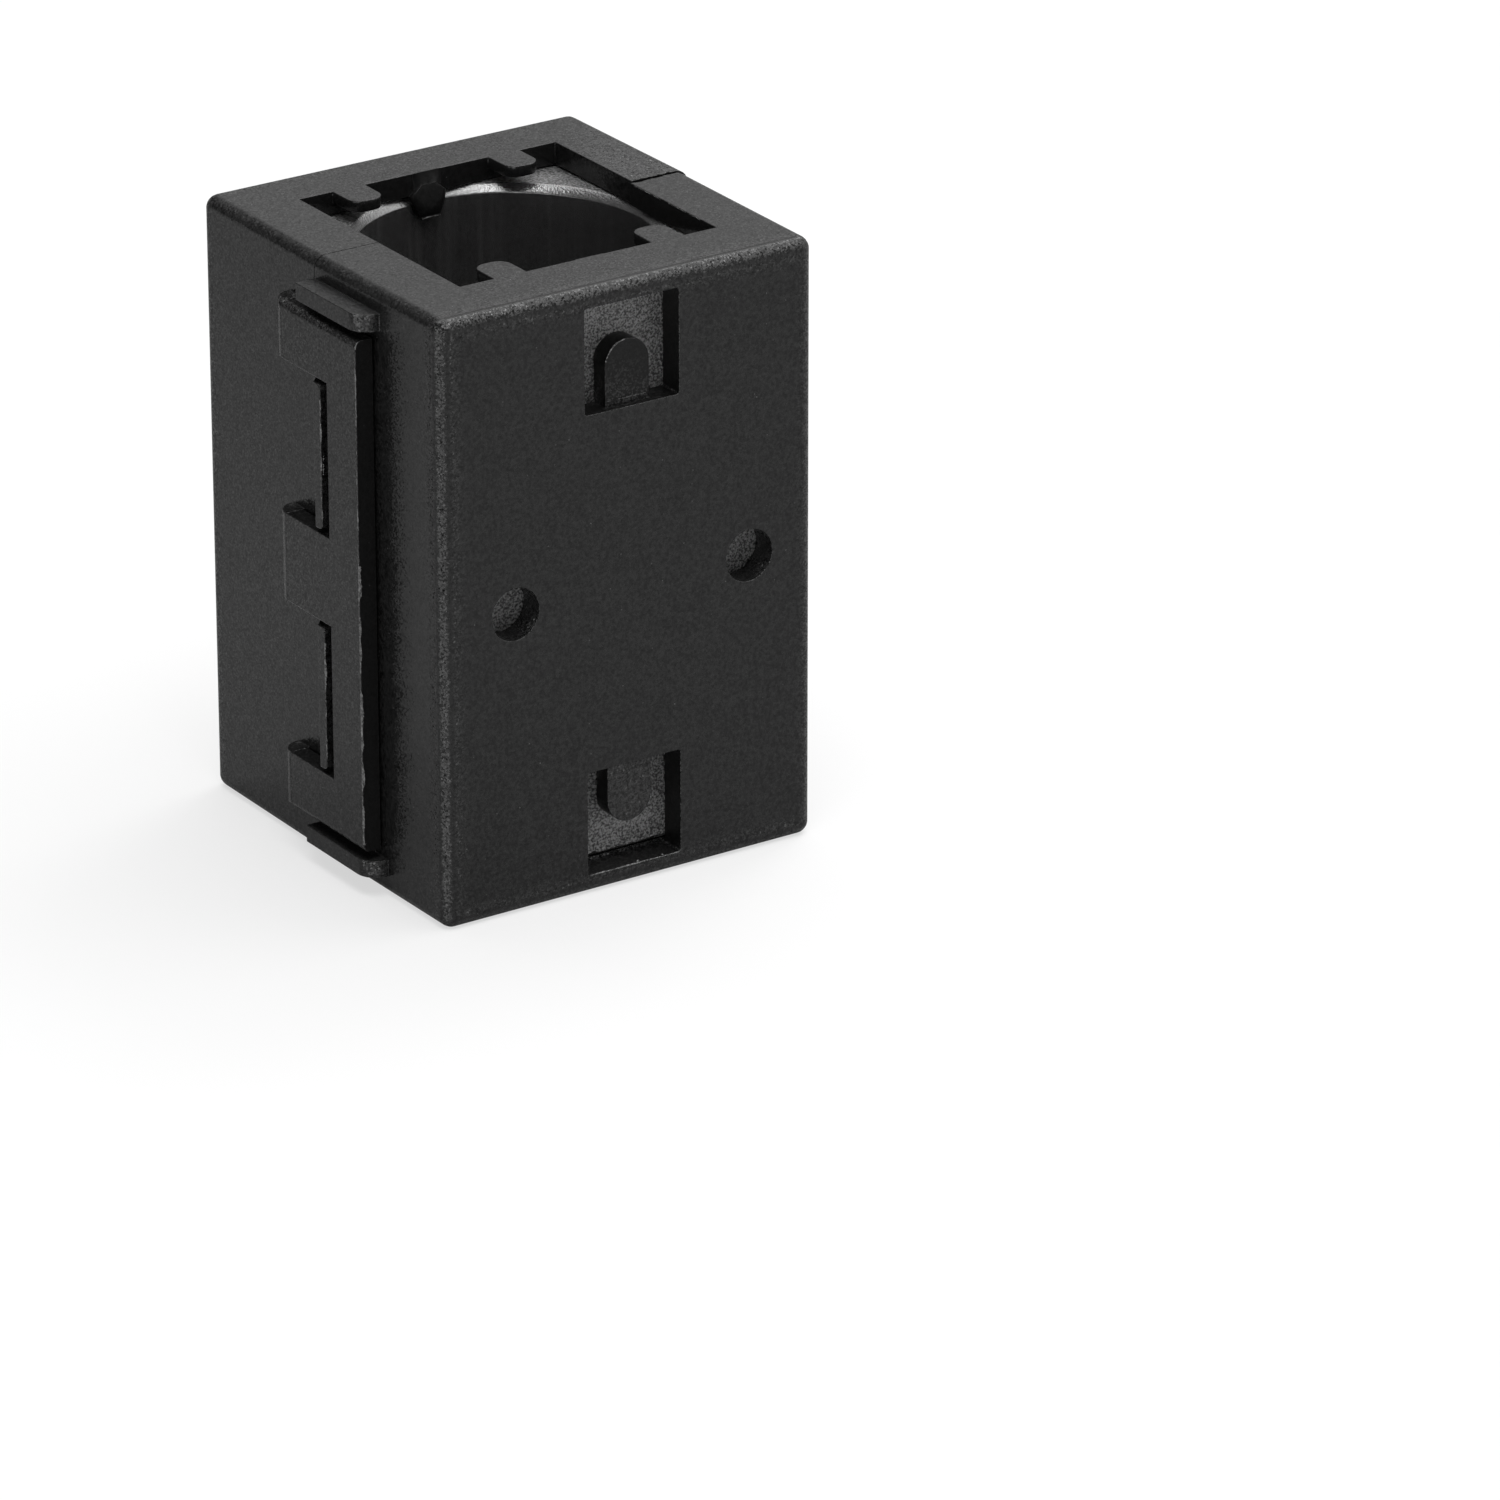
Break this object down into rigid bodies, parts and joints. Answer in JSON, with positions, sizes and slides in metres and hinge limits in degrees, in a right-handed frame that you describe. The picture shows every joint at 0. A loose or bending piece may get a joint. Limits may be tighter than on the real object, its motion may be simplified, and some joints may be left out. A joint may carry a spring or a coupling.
{
  "type": "clip on ferrite bead",
  "caption": "Snap-shut rectangular plastic case with a side latch and a living hinge, holding a split ferrite core with a round bore for a cable.",
  "frame": {"origin": "on the axis of the bore, in the plane of the lower end face", "axes": "+Z along the bore, -X towards the latch, +X towards the living hinge, +Y towards the half that carries the latch plate; the core's halves meet at Y = 0"},
  "size_m": [0.027, 0.0242, 0.035],
  "materials": {
    "case": "fine eroded mould texture",
    "ferrite": "sintered, with a ground bore and chamfers"
  },
  "bodies": {
    "catch_half": {"catch_shell": "case", "ferrite_half_front": "ferrite", "hinge_film": "case"},
    "latch_half": {"latch_shell": "case", "ferrite_half_rear": "ferrite"},
    "latch": {"latch_plate": "case"}
  },
  "joints": [
    {"name": "case_hinge", "type": "hinge", "parent": "catch_half", "child": "latch_half", "pos_m": [0.0129, 0.00035, 0.0175], "axis": [0, 0, -1], "range_deg": [0, 180], "deforming": ["hinge_film"]},
    {"name": "latch_flex", "type": "hinge", "parent": "latch_half", "child": "latch", "pos_m": [-0.0134, 0.0015, 0.0175], "axis": [0, 0, -1], "range_deg": [0, 18], "stiffness_Nm_per_rad": 0.02}
  ]
}
